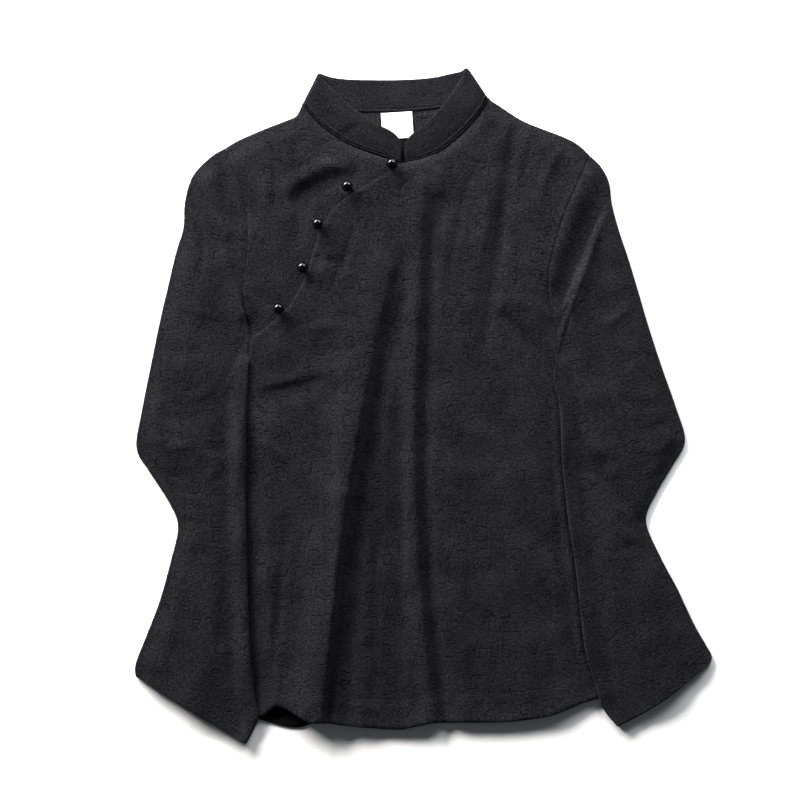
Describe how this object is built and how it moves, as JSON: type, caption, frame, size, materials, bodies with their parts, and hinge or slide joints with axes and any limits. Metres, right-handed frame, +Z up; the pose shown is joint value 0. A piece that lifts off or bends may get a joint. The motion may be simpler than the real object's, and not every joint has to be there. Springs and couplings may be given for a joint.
{
  "type": "tai chi top laid flat",
  "caption": "Dark long-sleeved top with a stand collar and a slanted flap with ball buttons, laid flat with its front up.",
  "frame": {"origin": "on the surface the top lies on, under the middle of its width and length", "axes": "+Y up the body from hem to collar, +X towards the wearer's left sleeve, +Z up from the surface"},
  "size_m": [0.5765, 0.6746, 0.0198],
  "materials": {
    "crepe": "matt crinkled crepe with a small woven figure",
    "piping": "matt corded cloth",
    "button": "polished",
    "label": "woven satin, blank"
  },
  "bodies": {
    "root": {"back_panel": "crepe", "main_front": "crepe", "underlap_front": "crepe", "right_sleeve": "crepe", "left_sleeve": "crepe", "stand_collar": "crepe", "neck_piping_right": "piping", "neck_piping_left": "piping", "back_neck_binding": "piping", "size_label": "label", "button_1": "button", "button_2": "button", "button_3": "button", "button_4": "button", "button_5": "button", "button_loop_1": "piping", "button_loop_2": "piping", "button_loop_3": "piping", "button_loop_4": "piping", "button_loop_5": "piping"}
  },
  "joints": []
}
